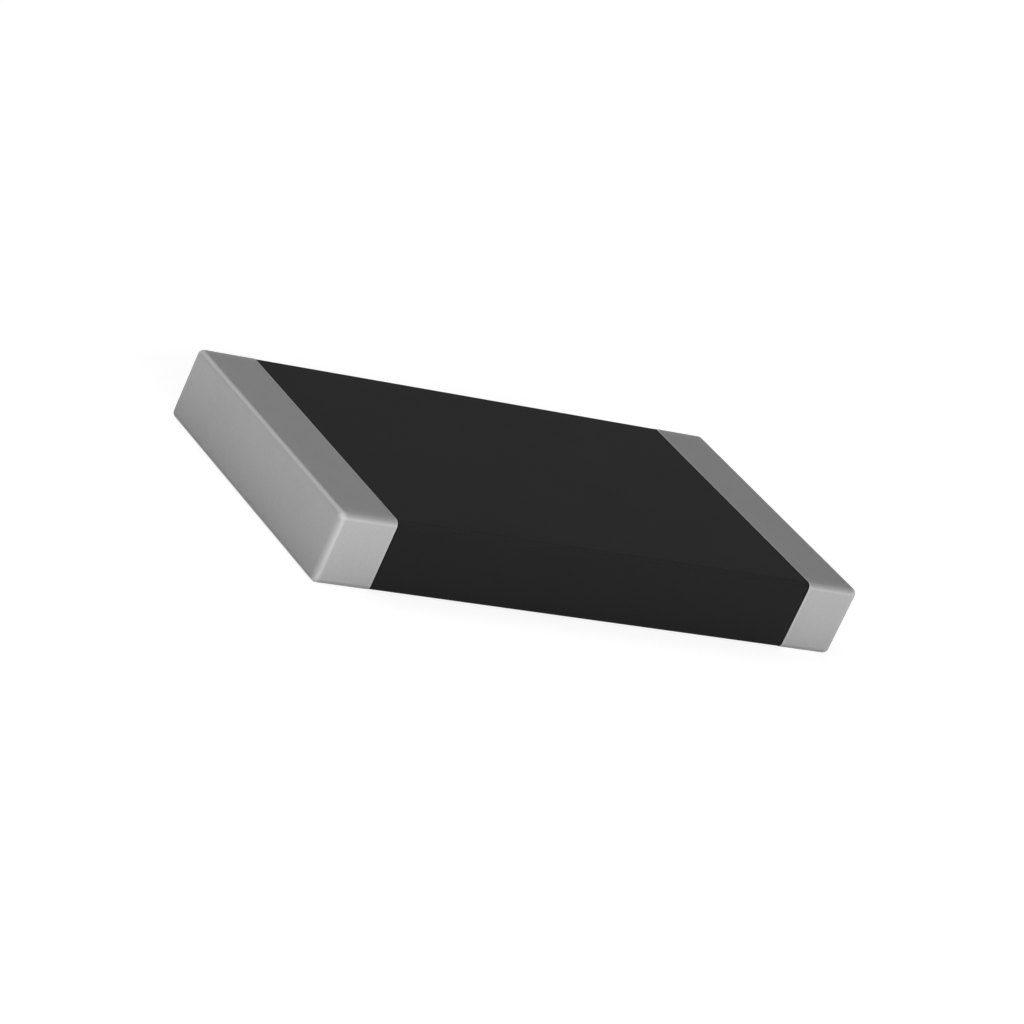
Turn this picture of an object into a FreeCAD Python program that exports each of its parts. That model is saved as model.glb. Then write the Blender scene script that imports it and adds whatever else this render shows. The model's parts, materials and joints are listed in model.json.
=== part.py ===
import FreeCAD, Part
import os
import Sketcher
from FreeCAD import Vector

# Thick film chip resistor, case 2010 (metric 5025).
# The origin is on the board, under the middle of the chip. X runs along the chip from cap to cap,
# Y across it and Z up from the board. All sizes are in millimetres.

doc = FreeCAD.newDocument("ThickFilmResistor")
sheet = doc.addObject("Spreadsheet::Sheet", "Size")

sizes = [
    ("substrate_length", "4.928", "ceramic, along the chip"),
    ("substrate_width", "2.428", "ceramic, across the chip"),
    ("substrate_thickness", "0.500", "ceramic"),
    ("notch_bevel", "0.015", "bevel that the snapping notches leave on the ceramic"),
    ("cap_band", "0.507", "cap, from an end of the chip to the coat"),
    ("silver_thickness", "0.020", "fired silver paste of a cap"),
    ("silver_edge_radius", "0.034", "outer edges of the silver, which the plating follows"),
    ("nickel_thickness", "0.006", "nickel plating"),
    ("tin_thickness", "0.010", "matte tin plating"),
    ("top_electrode_thickness", "0.012", "printed conductor under an end of the film"),
    ("bottom_electrode_thickness", "0.012", "printed conductor on the underside"),
    ("electrode_side_margin", "0.120", "bare ceramic beside an electrode"),
    ("bottom_electrode_reach", "0.080", "how far a bottom electrode runs in past its cap"),
    ("film_thickness", "0.012", "resistive film"),
    ("film_side_margin", "0.270", "bare ceramic beside the film"),
    ("film_setback", "0.140", "from the rim of a cap to the film"),
    ("film_overlap", "0.200", "how far the film lies on each electrode"),
    ("glass_thickness", "0.010", "glass over the highest part of the film"),
    ("glass_margin", "0.060", "how far the glass runs past the film"),
    ("kerf_width", "0.050", "laser trim cut"),
    ("kerf_lead", "0.030", "start of the cut, outside the film"),
    ("kerf_setback", "1.150", "from the left end of the film to the cut"),
    ("kerf_depth", "0.850", "first leg, from the side of the film inwards"),
    ("kerf_run", "0.950", "second leg, along the film"),
    ("coat_cover", "0.011", "coat over the glass"),
    ("coat_recess", "0.003", "how far the coat lies below the sides and undersides of the caps"),
]
for row, (alias, value, note) in enumerate(sizes, 1):
    sheet.set(f"A{row}", note)
    sheet.set(f"B{row}", value)
    sheet.setAlias(f"B{row}", alias)
doc.recompute()

# Levels and lengths that several pieces share
plating = "(Size.nickel_thickness + Size.tin_thickness)"
cap_wall = f"(Size.silver_thickness + {plating})"
half_length = f"(Size.substrate_length / 2 + {cap_wall})"
overall_width = f"(Size.substrate_width + 2 * {cap_wall})"
ceramic_low = f"({cap_wall} + Size.bottom_electrode_thickness)"
ceramic_high = f"({ceramic_low} + Size.substrate_thickness)"
electrode_high = f"({ceramic_high} + Size.top_electrode_thickness)"
cap_high = f"({electrode_high} + {cap_wall})"
glass_high = f"({electrode_high} + Size.film_thickness + Size.glass_thickness)"
electrode_width = "(Size.substrate_width - 2 * Size.electrode_side_margin)"
film_width = "(Size.substrate_width - 2 * Size.film_side_margin)"
film_start = f"(-{half_length} + Size.cap_band + Size.film_setback)"
film_length = f"(2 * {half_length} - 2 * Size.cap_band - 2 * Size.film_setback)"
tin_edge_radius = f"(Size.silver_edge_radius + {plating})"

headings = {"right": (1, 0), "left": (-1, 0), "up": (0, 1), "down": (0, -1)}


def add_body(name):
    body = doc.addObject("PartDesign::Body", name)
    body.Label = name
    return body


def add_sketch(body, name, plane, across, up, out):
    """A sketch on one of its body's own planes, moved along the plane's axes by three formulas."""
    sketch = body.newObject("Sketcher::SketchObject", name)
    own_plane = next(item for item in body.Origin.OriginFeatures if item.Role == plane)
    sketch.AttachmentSupport = [(own_plane, "")]
    sketch.MapMode = "FlatFace"
    sketch.setExpression("AttachmentOffset.Base.x", across)
    sketch.setExpression("AttachmentOffset.Base.y", up)
    sketch.setExpression("AttachmentOffset.Base.z", out)
    return sketch


def draw_outline(sketch, sides, centred=False):
    """Draws a closed outline side by side. Each side has a heading, and a name and a formula where
    its length is given. It starts at the sketch's origin, or has its first side centred there."""
    start = Vector(0, 0, 0)
    lines = []
    for heading, *_ in sides:
        end = start + Vector(*headings[heading], 0)
        lines.append(sketch.addGeometry(Part.LineSegment(start, end), False))
        start = end
    for line, following in zip(lines, lines[1:] + lines[:1]):
        sketch.addConstraint(Sketcher.Constraint("Coincident", line, 2, following, 1))
    if centred:
        sketch.addConstraint(Sketcher.Constraint("Symmetric", lines[0], 1, lines[0], 2, -1, 1))
    else:
        sketch.addConstraint(Sketcher.Constraint("Coincident", lines[0], 1, -1, 1))
    for line, (heading, *given) in zip(lines, sides):
        level = headings[heading][1] == 0
        sketch.addConstraint(Sketcher.Constraint("Horizontal" if level else "Vertical", line))
        if given:
            name, formula = given
            ends = (line, 1, line, 2) if sum(headings[heading]) > 0 else (line, 2, line, 1)
            kind = "DistanceX" if level else "DistanceY"
            constraint = sketch.addConstraint(Sketcher.Constraint(kind, *ends, 1.0))
            sketch.renameConstraint(constraint, name)
            sketch.setExpression(f"Constraints.{name}", formula)


def add_pad(body, sketch, length, side_type="One side"):
    pad = body.newObject("PartDesign::Pad", f"{body.Name}_pad")
    pad.Profile = sketch
    pad.SideType = side_type
    pad.setExpression("Length", length)
    doc.recompute()
    return pad


def add_bar(name, start, length, width, low, thickness):
    """A body with a rectangular section that is centred across the chip and padded along it."""
    body = add_body(name)
    section = add_sketch(body, f"{name}_section", "YZ_Plane", "0", low, start)
    sides = [("right", "width", width), ("up", "thickness", thickness), ("left",), ("down",)]
    draw_outline(section, sides, centred=True)
    return body, add_pad(body, section, length)


def find_edges(feature, wanted):
    return feature, [f"Edge{n}" for n, edge in enumerate(feature.Shape.Edges, 1) if wanted(edge)]


def runs_along(edge, axis):
    return edge.tangentAt(edge.FirstParameter).cross(axis).Length < 0.5


def round_edges(body, edges, radius):
    rounding = body.newObject("PartDesign::Fillet", f"{body.Name}_rounding")
    rounding.Base = edges
    rounding.setExpression("Radius", radius)
    doc.recompute()


def join(name, members):
    union = doc.addObject("Part::MultiFuse", name)
    union.Shapes = members
    return union


def cut_away(name, base, tool):
    cut = doc.addObject("Part::Cut", name)
    cut.Label = name
    cut.Base = base
    cut.Tool = tool
    cut.Refine = True
    return cut


def start_from_end(side, inset, length):
    """Where a bar begins that lies at an inset from its own end of the chip."""
    if side == "left":
        return f"-{half_length} + {inset}"
    return f"{half_length} - {inset} - {length}"


# Ceramic: a sintered plate, snapped from a sheet along notches that bevel its top and bottom edges
substrate, plate = add_bar(
    "ceramic_substrate",
    "-Size.substrate_length / 2",
    "Size.substrate_length",
    "Size.substrate_width",
    ceramic_low,
    "Size.substrate_thickness",
)
bevel = substrate.newObject("PartDesign::Chamfer", "notch_bevels")
bevel.Base = find_edges(plate, lambda edge: not runs_along(edge, Vector(0, 0, 1)))
bevel.setExpression("Size", "Size.notch_bevel")
doc.recompute()

# Electrodes: conductor strips printed on both faces of the ceramic, from its ends inwards
electrodes = []
for side in ("left", "right"):
    inset = f"({cap_wall} + Size.notch_bevel)"
    top_length = f"(Size.cap_band + Size.film_setback + Size.film_overlap - {inset})"
    top_electrode, _ = add_bar(
        f"top_electrode_{side}",
        start_from_end(side, inset, top_length),
        top_length,
        electrode_width,
        ceramic_high,
        "Size.top_electrode_thickness",
    )
    bottom_length = f"(Size.cap_band + Size.bottom_electrode_reach - {inset})"
    bottom_electrode, _ = add_bar(
        f"bottom_electrode_{side}",
        start_from_end(side, inset, bottom_length),
        bottom_length,
        electrode_width,
        cap_wall,
        "Size.bottom_electrode_thickness",
    )
    electrodes += [top_electrode, bottom_electrode]
electroded_ceramic = join("electroded_ceramic", [substrate, *electrodes])

# Film: printed across the gap and onto both top electrodes, so it steps up at each end
film = add_body("film_before_trimming")
film_section = add_sketch(film, "film_section", "XZ_Plane", film_start, electrode_high, "0")
raised_length = "Size.film_overlap + Size.film_thickness"
draw_outline(
    film_section,
    [
        ("right", "left_overlap", "Size.film_overlap"),
        ("down", "left_step", "Size.top_electrode_thickness"),
        ("right", "bridge", f"{film_length} - 2 * Size.film_overlap"),
        ("up", "right_step", "Size.top_electrode_thickness"),
        ("right", "right_overlap", "Size.film_overlap"),
        ("up", "thickness", "Size.film_thickness"),
        ("left", "right_raised", raised_length),
        ("down", "right_drop", "Size.top_electrode_thickness"),
        ("left",),
        ("up", "left_drop", "Size.top_electrode_thickness"),
        ("left", "left_raised", raised_length),
        ("down",),
    ],
)
add_pad(film, film_section, film_width, "Symmetric")

# Laser trim: an L-shaped cut through glass and film that sets the resistance
kerf = add_body("laser_kerf")
kerf_outline = add_sketch(
    kerf,
    "kerf_outline",
    "XY_Plane",
    f"{film_start} + Size.kerf_setback",
    f"-{film_width} / 2 - Size.kerf_lead",
    ceramic_high,
)
draw_outline(
    kerf_outline,
    [
        ("right", "first_leg_width", "Size.kerf_width"),
        ("up", "inner_depth", "Size.kerf_lead + Size.kerf_depth - Size.kerf_width"),
        ("right", "inner_run", "Size.kerf_run - Size.kerf_width"),
        ("up", "second_leg_width", "Size.kerf_width"),
        ("left",),
        ("down",),
    ],
)
add_pad(kerf, kerf_outline, f"{glass_high} - {ceramic_high}")
resistor_film = cut_away("resistor_film", film, kerf)

# Glass: levels itself as it is fired, so it is flat on top and follows the film underneath
glass_block, _ = add_bar(
    "glass_block",
    f"{film_start} - Size.glass_margin",
    f"{film_length} + 2 * Size.glass_margin",
    f"{film_width} + 2 * Size.glass_margin",
    ceramic_high,
    f"{glass_high} - {ceramic_high}",
)
glass_coat = cut_away("glass_coat", glass_block, join("under_the_glass", [electroded_ceramic, film, kerf]))
printed_chip = join("printed_chip", [electroded_ceramic, resistor_film, glass_coat])

# Coat: a sleeve round the chip between the caps, which also fills the laser cut
coat_block, sleeve = add_bar(
    "coat_block",
    f"-{half_length} + Size.cap_band",
    f"2 * {half_length} - 2 * Size.cap_band",
    f"{overall_width} - 2 * Size.coat_recess",
    "Size.coat_recess",
    f"{glass_high} + Size.coat_cover - Size.coat_recess",
)
long_edges = find_edges(sleeve, lambda edge: runs_along(edge, Vector(1, 0, 0)))
round_edges(coat_block, long_edges, f"{tin_edge_radius} - Size.coat_recess")
protective_coat = cut_away("protective_coat", coat_block, printed_chip)


def add_cap_block(name, side, inset, radius):
    """What a layer of a cap fills out to: a block at the chip's end, square only at its rim."""
    band = f"(Size.cap_band - 2 * {inset})"
    width = f"{overall_width} - 2 * {inset}"
    height = f"{cap_high} - 2 * {inset}"
    block, pad = add_bar(name, start_from_end(side, inset, band), band, width, inset, height)
    box = pad.Shape.BoundBox
    end = box.XMin if side == "left" else box.XMax
    reach = box.XLength / 2
    outer_edges = find_edges(pad, lambda edge: any(abs(point.X - end) < reach for point in edge.Vertexes))
    round_edges(block, outer_edges, radius)
    return block


# Caps: silver paste, nickel and tin, each a cup over the one below that closes its rim
caps = []
for side in ("left", "right"):
    silver_block = add_cap_block(f"silver_block_{side}", side, plating, "Size.silver_edge_radius")
    nickel_radius = "Size.silver_edge_radius + Size.nickel_thickness"
    nickel_block = add_cap_block(f"nickel_block_{side}", side, "Size.tin_thickness", nickel_radius)
    tin_block = add_cap_block(f"tin_block_{side}", side, "0", tin_edge_radius)
    under_nickel = join(f"under_the_nickel_{side}", [printed_chip, silver_block])
    under_tin = join(f"under_the_tin_{side}", [printed_chip, nickel_block])
    caps.append(cut_away(f"silver_termination_{side}", silver_block, printed_chip))
    caps.append(cut_away(f"nickel_barrier_{side}", nickel_block, under_nickel))
    caps.append(cut_away(f"tin_plating_{side}", tin_block, under_tin))
doc.recompute()

pieces = [substrate, *electrodes, resistor_film, glass_coat, protective_coat, *caps]
for item in doc.Objects:
    if "Invalid" in item.State or "Error" in item.State:
        raise RuntimeError(f"{item.Label} failed: {item.State}")
    if item.TypeId == "Sketcher::SketchObject" and not item.FullyConstrained:
        raise RuntimeError(f"{item.Label} isn't fully constrained")
for piece in pieces:
    if piece.Shape.isNull() or not piece.Shape.isValid() or len(piece.Shape.Solids) != 1:
        raise RuntimeError(f"{piece.Label} isn't one valid solid")

os.makedirs("parts", exist_ok=True)
for piece in pieces:
    piece.Shape.exportStep(os.path.join("parts", f"{piece.Label}.step"))
    print(f"{piece.Label}: {piece.Shape.Volume:.6f} mm3")
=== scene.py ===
import json
import math

import bmesh
import bpy
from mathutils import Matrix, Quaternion, Vector


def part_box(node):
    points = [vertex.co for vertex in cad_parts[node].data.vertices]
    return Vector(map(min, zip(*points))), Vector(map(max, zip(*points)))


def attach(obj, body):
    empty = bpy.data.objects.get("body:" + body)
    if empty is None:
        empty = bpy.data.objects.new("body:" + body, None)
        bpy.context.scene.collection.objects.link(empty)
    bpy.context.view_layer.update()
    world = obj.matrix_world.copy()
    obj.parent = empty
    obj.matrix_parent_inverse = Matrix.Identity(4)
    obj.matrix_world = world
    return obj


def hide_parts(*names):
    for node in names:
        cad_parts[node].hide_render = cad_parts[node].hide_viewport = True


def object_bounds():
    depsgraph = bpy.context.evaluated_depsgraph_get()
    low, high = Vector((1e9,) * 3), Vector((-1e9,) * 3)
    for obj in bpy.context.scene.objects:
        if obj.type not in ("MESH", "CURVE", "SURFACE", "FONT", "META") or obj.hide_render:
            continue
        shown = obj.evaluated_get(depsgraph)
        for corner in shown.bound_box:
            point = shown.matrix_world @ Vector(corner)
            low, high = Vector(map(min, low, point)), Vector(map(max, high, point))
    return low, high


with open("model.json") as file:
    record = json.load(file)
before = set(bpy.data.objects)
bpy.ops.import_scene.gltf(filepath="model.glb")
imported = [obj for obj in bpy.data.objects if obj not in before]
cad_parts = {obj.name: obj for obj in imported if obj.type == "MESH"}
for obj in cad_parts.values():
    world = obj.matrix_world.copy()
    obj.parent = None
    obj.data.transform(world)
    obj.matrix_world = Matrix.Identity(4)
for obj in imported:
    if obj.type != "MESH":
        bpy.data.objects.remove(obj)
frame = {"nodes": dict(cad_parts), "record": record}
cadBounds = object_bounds()

# The chip lies along X on the floor at z = 0, and lengths are in metres.
chipLow, chipHigh = cadBounds
chipMiddle = (chipLow + chipHigh) / 2
perMillimetre = 1000
closeBy = 2e-7  # what counts as the same place
aligned = 0.999  # what counts as the same direction, as a cosine
xAxis, zAxis = 0, 2
print("frame loaded:", len(frame["nodes"]), "nodes")


# Modelling helpers

def deselectAll():
    bpy.ops.object.select_all(action="DESELECT")


def pickPiece(piece):
    deselectAll()
    bpy.context.view_layer.objects.active = piece
    piece.select_set(True)


def startEditing(piece):
    pickPiece(piece)
    bpy.ops.object.mode_set(mode="EDIT")


def stopEditing():
    bpy.ops.object.mode_set(mode="OBJECT")


def pickFaces(piece, wanted):
    bpy.ops.mesh.select_mode(type="FACE")
    bpy.ops.mesh.select_all(action="DESELECT")
    mesh = bmesh.from_edit_mesh(piece.data)
    for face in mesh.faces:
        face.select_set(wanted(face))
    bmesh.update_edit_mesh(piece.data)


def pickEdges(piece, wanted):
    bpy.ops.mesh.select_mode(type="EDGE")
    bpy.ops.mesh.select_all(action="DESELECT")
    mesh = bmesh.from_edit_mesh(piece.data)
    for edge in mesh.edges:
        edge.select_set(wanted(edge))
    bmesh.update_edit_mesh(piece.data)


def sameLevel(edge, axis, level):
    return all(abs(corner.co[axis] - level) < closeBy for corner in edge.verts)


def runsAlong(edge, axis):
    way = edge.verts[1].co - edge.verts[0].co
    return abs(way[axis]) > aligned * way.length


def pointsAlong(face, axis, way):
    return face.normal[axis] * way > aligned


def flatAt(face, way, height):
    return pointsAlong(face, zAxis, way) and abs(face.calc_center_median().z - height) < closeBy


def ringFace(face, level, depth):
    near = [abs(corner.co.x - level) for corner in face.verts]
    return min(near) < closeBy and abs(max(near) - depth) < closeBy


def addBlock(name, low, high):
    deselectAll()
    bpy.ops.mesh.primitive_cube_add(size=1, location=(low + high) / 2, scale=high - low)
    bpy.ops.object.transform_apply(location=True, rotation=True, scale=True)
    block = bpy.context.active_object
    block.name = block.data.name = name
    return block


def bevelPicked(radius, steps):
    bpy.ops.mesh.bevel(offset=radius, segments=steps, affect="EDGES")


def extrudePicked(x=0, z=0):
    bpy.ops.mesh.extrude_region_move(TRANSFORM_OT_translate={"value": (x, 0, z)})


def resize(piece, factor):
    piece.scale = (factor, factor, factor)
    bpy.ops.object.transform_apply(location=False, rotation=False, scale=True)


shading = {
    "sharpAngle": 40, "faceWeight": 100,
    "scale": 1024,  # a power of two, so that no corner moves by a rounding error
}


def finishPiece(piece, material, node):
    pickPiece(piece)
    bpy.ops.object.shade_smooth_by_angle(angle=math.radians(shading["sharpAngle"]))
    # at its true size the modifier shades small flat faces as if they were bent
    resize(piece, shading["scale"])
    weighted = piece.modifiers.new("evenShading", "WEIGHTED_NORMAL")
    weighted.keep_sharp = True
    weighted.weight = shading["faceWeight"]
    bpy.ops.object.modifier_apply(modifier=weighted.name)
    resize(piece, 1 / shading["scale"])
    piece.data.materials.append(material)
    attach(piece, "root")
    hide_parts(node)


# Material helpers: a Signal is a socket that Python's own operators can work on

class Signal:
    def __init__(self, tree, socket):
        self.tree = tree
        self.socket = socket

    def work(self, operation, first, second=None):
        node = self.tree.nodes.new("ShaderNodeMath")
        node.operation = operation
        for place, value in enumerate((first, second)):
            if isinstance(value, Signal):
                self.tree.links.new(value.socket, node.inputs[place])
            elif value is not None:
                node.inputs[place].default_value = value
        return Signal(self.tree, node.outputs[0])

    def __add__(self, other):
        return self.work("ADD", self, other)

    def __radd__(self, other):
        return self.work("ADD", other, self)

    def __sub__(self, other):
        return self.work("SUBTRACT", self, other)

    def __rsub__(self, other):
        return self.work("SUBTRACT", other, self)

    def __mul__(self, other):
        return self.work("MULTIPLY", self, other)

    def __rmul__(self, other):
        return self.work("MULTIPLY", other, self)

    def __truediv__(self, other):
        return self.work("DIVIDE", self, other)

    def __rtruediv__(self, other):
        return self.work("DIVIDE", other, self)

    def __abs__(self):
        return self.work("ABSOLUTE", self)

    def atLeast(self, other):
        return self.work("MAXIMUM", self, other)

    def atMost(self, other):
        return self.work("MINIMUM", self, other)

    def wave(self):
        return self.work("SINE", self)

    def climb(self, start, end):
        # 0 up to the start, 1 from the end on
        return ((self - start) / (end - start)).atLeast(0).atMost(1)

    def near(self, width):
        # for a distance: 1 at the place itself, 0 from the width on
        return (1 - self / width).atLeast(0)


class Finish:
    def __init__(self, owner):
        owner.use_nodes = True
        self.owner = owner
        self.tree = owner.node_tree
        self.tree.nodes.clear()

    def add(self, kind, settings=None, sockets=None, result=0):
        node = self.tree.nodes.new(kind)
        for setting, value in (settings or {}).items():
            setattr(node, setting, value)
        for socket, value in (sockets or {}).items():
            if isinstance(value, Signal):
                self.tree.links.new(value.socket, node.inputs[socket])
            else:
                node.inputs[socket].default_value = value
        if isinstance(result, tuple):
            return [Signal(self.tree, node.outputs[name]) for name in result]
        return Signal(self.tree, node.outputs[result]) if node.outputs else None

    def millimetres(self):
        place = self.add("ShaderNodeTexCoord", result="Object")
        scale = (perMillimetre,) * 3
        return self.add("ShaderNodeMapping", {"vector_type": "POINT"}, {"Vector": place, "Scale": scale})

    def split(self, place):
        return self.add("ShaderNodeSeparateXYZ", {}, {"Vector": place}, ("X", "Y", "Z"))

    def noise(self, place, scale, detail, roughness=0.5):
        sockets = {"Vector": place, "Scale": scale, "Detail": detail, "Roughness": roughness}
        return self.add("ShaderNodeTexNoise", {"noise_dimensions": "3D"}, sockets, "Fac")

    def cells(self, place, scale):
        sockets = {"Vector": place, "Scale": scale}
        return self.add("ShaderNodeTexVoronoi", {"feature": "F1"}, sockets, "Distance")

    def blend(self, share, first, second):
        # by place, because a Mix node's numbers, vectors and colours share their names
        sockets = {0: share, 6: first, 7: second}
        return self.add("ShaderNodeMix", {"data_type": "RGBA"}, sockets, 2)

    def uneven(self, look, pattern, middle=0.5):
        # the look's roughness, spread to both sides by a pattern that runs from 0 to 1
        return look["roughness"] + (pattern - middle) * look["roughnessSpread"]

    def bump(self, height, depth):
        sockets = {"Height": height, "Distance": depth, "Strength": 1.0}
        return self.add("ShaderNodeBump", {}, sockets)

    def shade(self, sockets):
        surface = self.add("ShaderNodeBsdfPrincipled", {}, sockets)
        self.add("ShaderNodeOutputMaterial", {}, {"Surface": surface})
        return self.owner


def wayTo(azimuth, elevation):
    turn, rise = math.radians(azimuth), math.radians(elevation)
    return Vector((math.sin(turn) * math.cos(rise), -math.cos(turn) * math.cos(rise), math.sin(rise)))


# Camera: the photograph's view of the chip, turned about its own axis as the picture is

cameraView = {
    "azimuth": -39.64, "elevation": 20.13, "roll": 24.78,  # degrees
    "distance": 0.032986, "aimX": -0.00017, "aimY": -0.00016, "lens": 150.3, "sensor": 36,
    "nearest": 0.001, "farthest": 1.0,
}


def placeCamera(view):
    back = wayTo(view["azimuth"], view["elevation"])
    aim = Vector((view["aimX"], view["aimY"], chipMiddle.z))
    data = bpy.data.cameras.new("camera")
    data.sensor_width, data.lens = view["sensor"], view["lens"]
    data.clip_start, data.clip_end = view["nearest"], view["farthest"]
    camera = bpy.data.objects.new("camera", data)
    camera.location = aim + back * view["distance"]
    camera.rotation_mode = "QUATERNION"
    roll = Quaternion((0, 0, 1), math.radians(view["roll"]))
    camera.rotation_quaternion = (-back).to_track_quat("-Z", "Y") @ roll
    bpy.context.scene.collection.objects.link(camera)
    bpy.context.scene.camera = camera


placeCamera(cameraView)
bpy.context.scene.view_settings.view_transform = "Standard"
print("camera placed")


# Floor, lamps and world

studio = {
    "floorRadius": 0.4, "floorSteps": 96, "floorColor": (0.9, 0.9, 0.9, 1),
    "floorPaint": 0.4, "floorGlow": 0.83,  # how much the camera sees of the paint, and of a white glow
    # how far out the glow begins to make up for the lamps, and where it is full
    "glowStart": 0.01, "glowEnd": 0.05,
    # how bright metal mirrors the floor's glow, how bright the painted shadow in it is right beside the
    # chip, and how wide that change is
    "floorMirrored": 0.47, "paintedShadowMirrored": 0.08, "paintedShadowReach": 0.001,
    "skyLevel": 0.02,  # how much the sky lights
    "horizonLevel": 1.0, "zenithLevel": 0.02,  # how it is seen and mirrored
    "fadeStart": 0.12, "fadeEnd": 0.42,  # sines of the heights between which the horizon's white fades
    "unlit": (0, 0, 0, 1), "white": (1, 1, 1, 1),
    "lampDistance": 0.06,
}
lamps = {
    "keyLamp": {"azimuth": -4, "elevation": 9, "width": 0.08, "height": 0.05, "level": 1.31},
    "upperLamp": {"azimuth": 180, "elevation": 60, "width": 0.04, "height": 0.04, "level": 0.19},
    "farLamp": {"azimuth": 120, "elevation": 60, "width": 0.04, "height": 0.04, "level": 0.078},
    "endLamp": {"azimuth": -95, "elevation": 52, "width": 0.04, "height": 0.04, "level": 0.215},
}


def seenRays(finish):
    rays = ("Is Camera Ray", "Is Glossy Ray", "Is Transmission Ray")
    camera, glossy, clear = finish.add("ShaderNodeLightPath", result=rays)
    return camera, glossy.atLeast(clear)


def makeFloor():
    # the camera sees a white floor with a faint shadow, and metal mirrors it darker close to the chip,
    # where its glow holds a painted contact shadow
    ground = Finish(bpy.data.materials.new("paleFloor"))
    camera, mirrored = seenRays(ground)
    paint = ground.add("ShaderNodeBsdfDiffuse", {}, {"Color": studio["floorColor"]})
    # the first shader stays empty, so the mix only thins the paint for the camera
    thin = ground.add("ShaderNodeMixShader", {}, {0: 1 - camera * (1 - studio["floorPaint"]), 2: paint})
    place = ground.add("ShaderNodeTexCoord", result="Object")
    distance = ground.add("ShaderNodeVectorMath", {"operation": "LENGTH"}, {0: place}, "Value")
    outside = distance.climb(studio["glowStart"], studio["glowEnd"])
    toCamera = studio["floorGlow"] + outside * (1 - studio["floorGlow"])
    x, y = ground.split(place)[:2]
    # how far the floor is from the chip's foot
    gap = (abs(x) - chipHigh.x).atLeast(abs(y) - chipHigh.y).atLeast(0)
    # painted shadow: the glow that metal mirrors is darker right beside the chip
    paintedShadowFade = (gap / studio["paintedShadowReach"]).atMost(1)
    toMetal = studio["paintedShadowMirrored"] + paintedShadowFade * (studio["floorMirrored"] - studio["paintedShadowMirrored"])
    toMetal = toMetal + outside * (1 - studio["floorMirrored"])
    glowColor = ground.blend(camera * toCamera + mirrored * toMetal, studio["unlit"], studio["white"])
    glow = ground.add("ShaderNodeEmission", {}, {"Color": glowColor, "Strength": 1.0})
    bright = ground.add("ShaderNodeAddShader", {}, {0: thin, 1: glow})
    ground.add("ShaderNodeOutputMaterial", {}, {"Surface": bright})
    deselectAll()
    bpy.ops.mesh.primitive_circle_add(
        vertices=studio["floorSteps"], radius=studio["floorRadius"], fill_type="NGON")
    floor = bpy.context.active_object
    floor.name = "floor"
    floor.data.materials.append(ground.owner)


def makeWorld():
    sky = Finish(bpy.data.worlds.new("studioSky"))
    bpy.context.scene.world = sky.owner
    way = sky.add("ShaderNodeTexCoord", result="Generated")
    height = sky.split(way)[zAxis]
    fade = height.climb(studio["fadeStart"], studio["fadeEnd"])
    shown = studio["horizonLevel"] + fade * (studio["zenithLevel"] - studio["horizonLevel"])
    camera, mirrored = seenRays(sky)
    seen = camera.atLeast(mirrored)
    level = seen * shown + (1 - seen) * studio["skyLevel"]
    skyColor = sky.blend(level, studio["unlit"], studio["white"])
    background = sky.add("ShaderNodeBackground", {}, {"Color": skyColor, "Strength": 1.0})
    sky.add("ShaderNodeOutputWorld", {}, {"Surface": background})


def placeLamp(name, setting):
    way = wayTo(setting["azimuth"], setting["elevation"])
    data = bpy.data.lights.new(name, "AREA")
    data.shape = "RECTANGLE"
    data.size, data.size_y = setting["width"], setting["height"]
    # a lamp of level 1 lights a white surface that faces it to white
    data.energy = setting["level"] * (math.pi * studio["lampDistance"]) ** 2
    lamp = bpy.data.objects.new(name, data)
    lamp.location = chipMiddle + way * studio["lampDistance"]
    lamp.rotation_mode = "QUATERNION"
    lamp.rotation_quaternion = (-way).to_track_quat("-Z", "Y")
    bpy.context.scene.collection.objects.link(lamp)


makeFloor()
makeWorld()
for lampName, lampSetting in lamps.items():
    placeLamp(lampName, lampSetting)
print("studio ready")


# Finishes of the pieces that show. Their masks work in millimetres from the chip's middle and its floor.

endAt, sideAt, topAt = chipHigh * perMillimetre
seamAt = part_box("protective_coat")[1].x * perMillimetre

tinLook = {
    # edge is the colour of the painted highlights on the cap's edges, corners and rim
    "dark": (0.35, 0.35, 0.35, 1), "light": (0.49, 0.49, 0.49, 1), "edge": (0.7, 0.7, 0.7, 1),
    "metallic": 0.9, "roughness": 0.5, "roughnessSpread": 0.12,
    "cloudScale": 3.0, "grainScale": 45.0, "grainShare": 0.75, "grainDepth": 8e-7,
    "edgeWidth": 0.06, "rimHighlightWidth": 0.024, "sheenWidth": 0.15, "sheenHeight": 0.05,
    # how much each painted highlight pales its kind of edge, and where a painted line begins
    "uprightShare": 0.5, "endShare": 7.2, "endStart": 0.385, "faceShare": 1.3, "faceStart": 0.2,
    "cornerShare": 2.0, "sheenShare": 0.52, "rimHighlightShare": 0.33,
    # what every edge adds to the roughness, and what the long ones add to that
    "edgeRoughness": 0.26, "longRoughness": 0.2,
}


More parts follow.
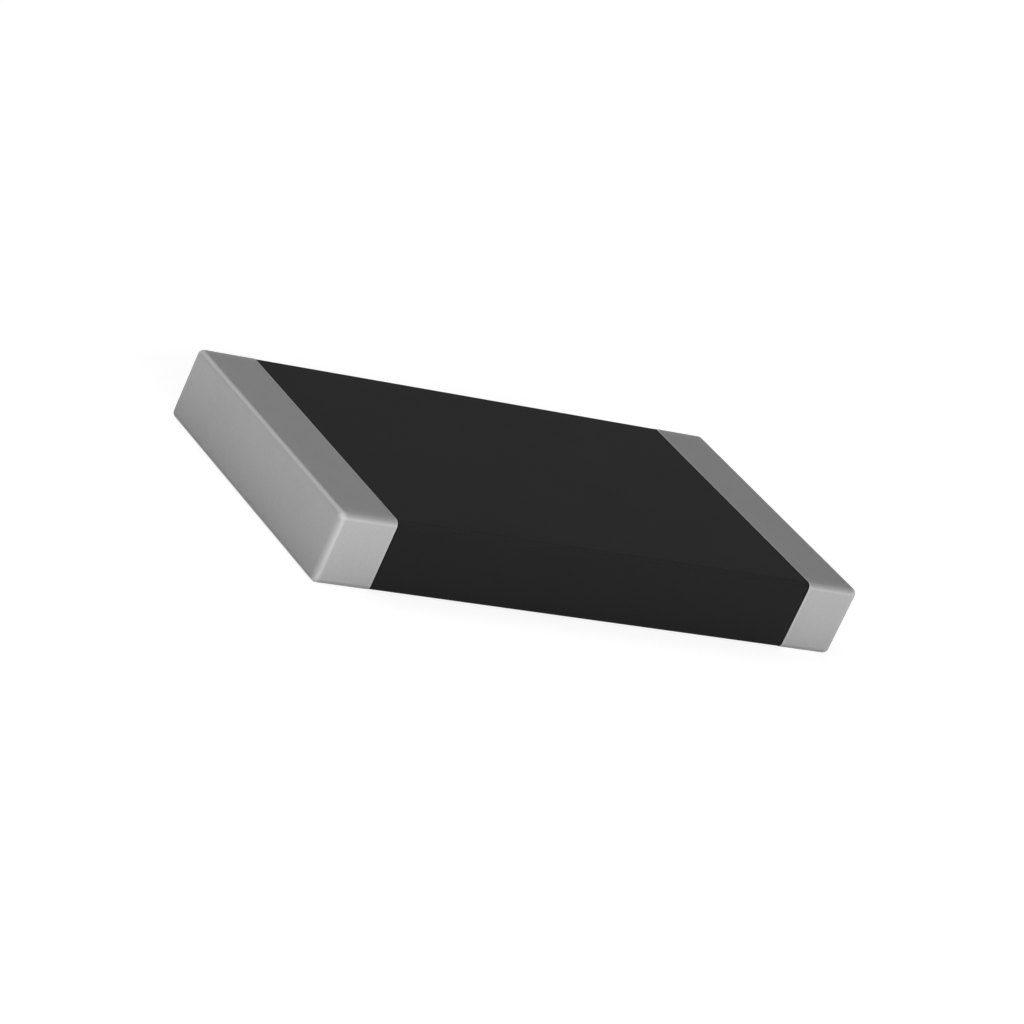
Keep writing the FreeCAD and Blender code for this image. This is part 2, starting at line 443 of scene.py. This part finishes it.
def makeTin(look):
    tin = Finish(bpy.data.materials.new("matteTin"))
    place = tin.millimetres()
    clouds = tin.noise(place, look["cloudScale"], detail=3.0, roughness=0.6)
    grain = tin.noise(place, look["grainScale"], detail=4.0, roughness=0.7)
    x, y, z = tin.split(place)
    nearEnd = (endAt - abs(x)).near(look["edgeWidth"])
    nearSide = (sideAt - abs(y)).near(look["edgeWidth"])
    nearTop = (topAt - z).near(look["edgeWidth"])
    nearBoth = z.near(look["edgeWidth"]) + nearTop  # the floor or the top
    edges = (nearEnd * nearSide + nearEnd * nearBoth + nearSide * nearBoth).atMost(1)
    # painted highlights: the end has a thin pale line along its top and floor edges, and a softer one
    # below the top edge
    endHighlight = (nearEnd * nearBoth * (nearBoth + 1) / 2 - look["endStart"]).atLeast(0)
    faceHighlight = (nearEnd * nearEnd * nearEnd * nearTop - look["faceStart"]).atLeast(0)
    # painted highlights: the top is paler along its long edges, and the cap has a pale rim beside the
    # seam
    sheenSide = (sideAt - abs(y)).near(look["sheenWidth"])
    paintedSheen = sheenSide * sheenSide * (topAt - z).near(look["sheenHeight"])
    # painted highlight: the rim beside the seam is paler
    rim = (abs(x) - seamAt).near(look["rimHighlightWidth"])
    # every painted highlight in one mask, which pales the body towards the edge colour
    paintedHighlight = nearEnd * nearSide * look["uprightShare"] + endHighlight * look["endShare"]
    paintedHighlight = paintedHighlight + faceHighlight * look["faceShare"] + nearEnd * nearSide * nearBoth * look["cornerShare"]
    paintedHighlight = (paintedHighlight + paintedSheen * look["sheenShare"] + rim * look["rimHighlightShare"]).atMost(1)
    patches = clouds * (1 - look["grainShare"]) + grain * look["grainShare"]
    body = tin.blend(patches, look["dark"], look["light"])
    roughness = tin.uneven(look, grain) + edges * look["edgeRoughness"]
    return tin.shade({
        "Base Color": tin.blend(paintedHighlight, body, look["edge"]), "Metallic": look["metallic"],
        "Roughness": roughness + nearSide * nearBoth * look["longRoughness"],
        "Normal": tin.bump(grain, look["grainDepth"]),
    })


coatLook = {
    "dark": (0.0125, 0.0125, 0.0132, 1), "light": (0.0141, 0.0141, 0.0141, 1),
    "roughness": 0.5, "roughnessSpread": 0.06, "specular": 0.06,
    "cloudScale": 1.4, "grainScale": 45.0, "grainDepth": 3e-7,
    # edge is the colour of a painted sheen along the long edges
    "edge": (0.025, 0.025, 0.025, 1), "edgeWidth": 0.05, "paintedSheenShare": 3.5,
    # seam is the colour of a painted shadow beside the caps
    "seamShadow": (0.004, 0.004, 0.004, 1), "seamShadowWidth": 0.02,
}


def makeCoat(look):
    coat = Finish(bpy.data.materials.new("blackCoat"))
    place = coat.millimetres()
    clouds = coat.noise(place, look["cloudScale"], detail=3.0, roughness=0.5)
    grain = coat.noise(place, look["grainScale"], detail=3.0, roughness=0.6)
    x, y, z = coat.split(place)
    middleAt = chipMiddle.z * perMillimetre
    nearSide = (sideAt - abs(y)).near(look["edgeWidth"])
    nearBoth = (middleAt - abs(z - middleAt)).near(look["edgeWidth"])  # the floor or the top
    # painted sheen: the long edges are paler
    paintedSheen = (nearSide * nearBoth * nearBoth * nearBoth * look["paintedSheenShare"]).atMost(1)
    # painted shadow: the coat is darker right beside the caps
    seamShadow = (seamAt - abs(x)).near(look["seamShadowWidth"])
    body = coat.blend(paintedSheen, coat.blend(clouds, look["dark"], look["light"]), look["edge"])
    return coat.shade({
        "Base Color": coat.blend(seamShadow, body, look["seamShadow"]),
        "Roughness": coat.uneven(look, clouds), "Specular IOR Level": look["specular"],
        "Normal": coat.bump(grain, look["grainDepth"]),
    })


tinFinish = makeTin(tinLook)
coatFinish = makeCoat(coatLook)
print("tin and coat finishes made")


# Finishes of the pieces inside: printed and fired layers show the mesh of their printing screen

printLook = {"meshScale": 90.0, "meshShare": 0.4, "bumpDepth": 6e-7}


def printedLayer(name, look):
    layer = Finish(bpy.data.materials.new(name))
    place = layer.millimetres()
    x, y = layer.split(place)[:2]
    knuckles = (x * printLook["meshScale"]).wave() * (y * printLook["meshScale"]).wave()
    grain = layer.noise(place, look["grainScale"], detail=3.0, roughness=0.6)
    # waves run from -1 to 1, and heights from 0 to 1
    height = (knuckles + 1) / 2 * printLook["meshShare"] + grain * (1 - printLook["meshShare"])
    return layer.shade({
        "Base Color": layer.blend(height, look["dark"], look["light"]), "Metallic": look["metallic"],
        "Roughness": layer.uneven(look, grain), "Normal": layer.bump(height, printLook["bumpDepth"]),
    })


electrodeLook = {
    "dark": (0.54, 0.54, 0.52, 1), "light": (0.68, 0.68, 0.65, 1), "metallic": 1.0,
    "grainScale": 40.0, "roughness": 0.45, "roughnessSpread": 0.15,
}
filmLook = {
    "dark": (0.035, 0.035, 0.04, 1), "light": (0.07, 0.07, 0.075, 1), "metallic": 0.1,
    "grainScale": 30.0, "roughness": 0.6, "roughnessSpread": 0.15,
}
silverLook = {
    "dark": (0.66, 0.66, 0.63, 1), "light": (0.8, 0.8, 0.78, 1), "metallic": 1.0,
    "grainScale": 55.0, "roughness": 0.55, "roughnessSpread": 0.2,
}


# Alumina: a fine-grained white fired surface with darker specks

aluminaLook = {
    "dark": (0.8, 0.77, 0.7, 1), "light": (0.88, 0.87, 0.83, 1), "grainScale": 70.0, "speckScale": 25.0,
    "roughness": 0.55, "roughnessSpread": 0.1, "bumpDepth": 8e-7,
}


def makeAlumina(look):
    alumina = Finish(bpy.data.materials.new("whiteAlumina"))
    place = alumina.millimetres()
    grains = alumina.cells(place, look["grainScale"])
    specks = alumina.noise(place, look["speckScale"], detail=4.0, roughness=0.7)
    return alumina.shade({
        "Base Color": alumina.blend(specks, look["dark"], look["light"]),
        "Roughness": alumina.uneven(look, specks), "Normal": alumina.bump(grains, look["bumpDepth"]),
    })


# Glaze: smooth green glass with soft waves

glazeLook = {
    "dark": (0.16, 0.26, 0.24, 1), "light": (0.24, 0.34, 0.32, 1), "waveScale": 2.5,
    "roughness": 0.12, "roughnessSpread": 0.08, "bumpDepth": 1e-6,
}


def makeGlaze(look):
    glaze = Finish(bpy.data.materials.new("greenGlaze"))
    waves = glaze.noise(glaze.millimetres(), look["waveScale"], detail=1.0)
    return glaze.shade({
        "Base Color": glaze.blend(waves, look["dark"], look["light"]),
        "Roughness": glaze.uneven(look, waves), "Normal": glaze.bump(waves, look["bumpDepth"]),
    })


# Nickel: fine plated nodules

nickelLook = {
    "dark": (0.54, 0.51, 0.46, 1), "light": (0.66, 0.63, 0.58, 1), "metallic": 1.0, "noduleScale": 80.0,
    "roughness": 0.38, "roughnessSpread": 0.12, "bumpDepth": 3e-7,
}


def makeNickel(look):
    nickel = Finish(bpy.data.materials.new("platedNickel"))
    nodules = nickel.cells(nickel.millimetres(), look["noduleScale"])
    return nickel.shade({
        "Base Color": nickel.blend(nodules, look["light"], look["dark"]), "Metallic": look["metallic"],
        "Roughness": nickel.uneven(look, nodules), "Normal": nickel.bump(1 - nodules, look["bumpDepth"]),
    })


finishOfSlot = {
    "alumina": makeAlumina(aluminaLook),
    "silver_palladium": printedLayer("printedSilverPalladium", electrodeLook),
    "resistive_film": printedLayer("printedFilm", filmLook),
    "glaze": makeGlaze(glazeLook),
    "black_coat": coatFinish,
    "fired_silver": printedLayer("firedSilver", silverLook),
    "nickel": makeNickel(nickelLook),
    "matte_tin": tinFinish,
}
for subpart in frame["record"]["subparts"]:
    for holder in frame["nodes"][subpart["node"]].material_slots:
        holder.material = finishOfSlot[subpart["material_slot"]]


# Tin caps: a cup with rounded outer edges and a soft lip, whose rim closes in round the board

capShape = {"edgeRadius": 0.00005, "edgeSteps": 10, "lipRadius": 0.000003, "lipSteps": 3}


def makeCap(side):
    low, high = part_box(f"tin_plating_{side}")
    nickelLow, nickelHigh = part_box(f"nickel_barrier_{side}")
    wall = nickelLow.z - low.z
    capWall = high.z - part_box(f"top_electrode_{side}")[1].z
    outward, rim = (-1, high.x) if side == "left" else (1, low.x)
    cap = addBlock(f"tin_cap_{side}", low, high)
    startEditing(cap)
    pickEdges(cap, lambda edge: not sameLevel(edge, xAxis, rim))
    bevelPicked(capShape["edgeRadius"], capShape["edgeSteps"])
    pickEdges(cap, lambda edge: sameLevel(edge, xAxis, rim))
    bevelPicked(capShape["lipRadius"], capShape["lipSteps"])
    # the hollow for the nickel, as deep as the cap less its end wall
    pickFaces(cap, lambda face: pointsAlong(face, xAxis, -outward))
    bpy.ops.mesh.inset(thickness=wall - capShape["lipRadius"])
    extrudePicked(x=outward * wall)
    depth = nickelHigh.x - nickelLow.x
    extrudePicked(x=outward * depth)
    nickelEnd = rim + outward * (wall + depth)
    pickEdges(cap, lambda edge: sameLevel(edge, xAxis, nickelEnd))
    bevelPicked(capShape["edgeRadius"] - wall, capShape["edgeSteps"])
    # the first ring of the hollow's wall grows inwards and becomes the rim round the board
    pickFaces(cap, lambda face: ringFace(face, rim, wall))
    inwards = {"value": capWall - wall, "use_even_offset": True}
    bpy.ops.mesh.extrude_region_shrink_fatten(TRANSFORM_OT_shrink_fatten=inwards)
    stopEditing()
    finishPiece(cap, tinFinish, f"tin_plating_{side}")
    print("cap made:", cap.name, len(cap.data.polygons), "faces")


for capSide in ("left", "right"):
    makeCap(capSide)


# Black coat: a sleeve round the board between the caps, with rounded long edges

coatShape = {"edgeSteps": 10, "endRadius": 0.000005, "endSteps": 3}


def makeSleeve():
    low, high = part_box("protective_coat")
    boardLow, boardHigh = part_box("ceramic_substrate")
    glassLow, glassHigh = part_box("glass_coat")
    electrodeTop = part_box("top_electrode_left")[1].z
    wall = high.y - boardHigh.y
    endRadius = coatShape["endRadius"]
    sleeve = addBlock("black_coat", low, high)
    startEditing(sleeve)
    pickEdges(sleeve, lambda edge: runsAlong(edge, xAxis))
    longRadius = capShape["edgeRadius"] - (chipHigh.y - high.y)
    bevelPicked(longRadius, coatShape["edgeSteps"])
    pickEdges(sleeve, lambda edge: sameLevel(edge, xAxis, low.x) or sameLevel(edge, xAxis, high.x))
    bevelPicked(endRadius, coatShape["endSteps"])
    # both ends open to the board's section and join into one hole
    pickFaces(sleeve, lambda face: pointsAlong(face, xAxis, 1) or pointsAlong(face, xAxis, -1))
    bpy.ops.mesh.inset(thickness=wall - endRadius)
    bpy.ops.mesh.bridge_edge_loops()
    # a shallow seat in the hole's roof for the glass
    edgeMargin = high.x - glassHigh.x
    pickFaces(sleeve, lambda face: flatAt(face, -1, electrodeTop))
    bpy.ops.mesh.inset(thickness=edgeMargin)
    seatWidth = 2 * (boardHigh.y - (longRadius - wall) - edgeMargin)
    narrower = (1, (glassHigh.y - glassLow.y) / seatWidth, 1)
    bpy.ops.transform.resize(value=narrower, center_override=(0, 0, electrodeTop))
    extrudePicked(z=glassHigh.z - electrodeTop)
    # a raised floor of the hole between the electrodes underneath
    holeFloor = low.z + wall
    pickFaces(sleeve, lambda face: flatAt(face, 1, holeFloor))
    bpy.ops.mesh.inset(thickness=edgeMargin)
    extrudePicked(z=boardLow.z - holeFloor)
    stopEditing()
    finishPiece(sleeve, coatFinish, "protective_coat")
    print("coat made:", len(sleeve.data.polygons), "faces")


makeSleeve()
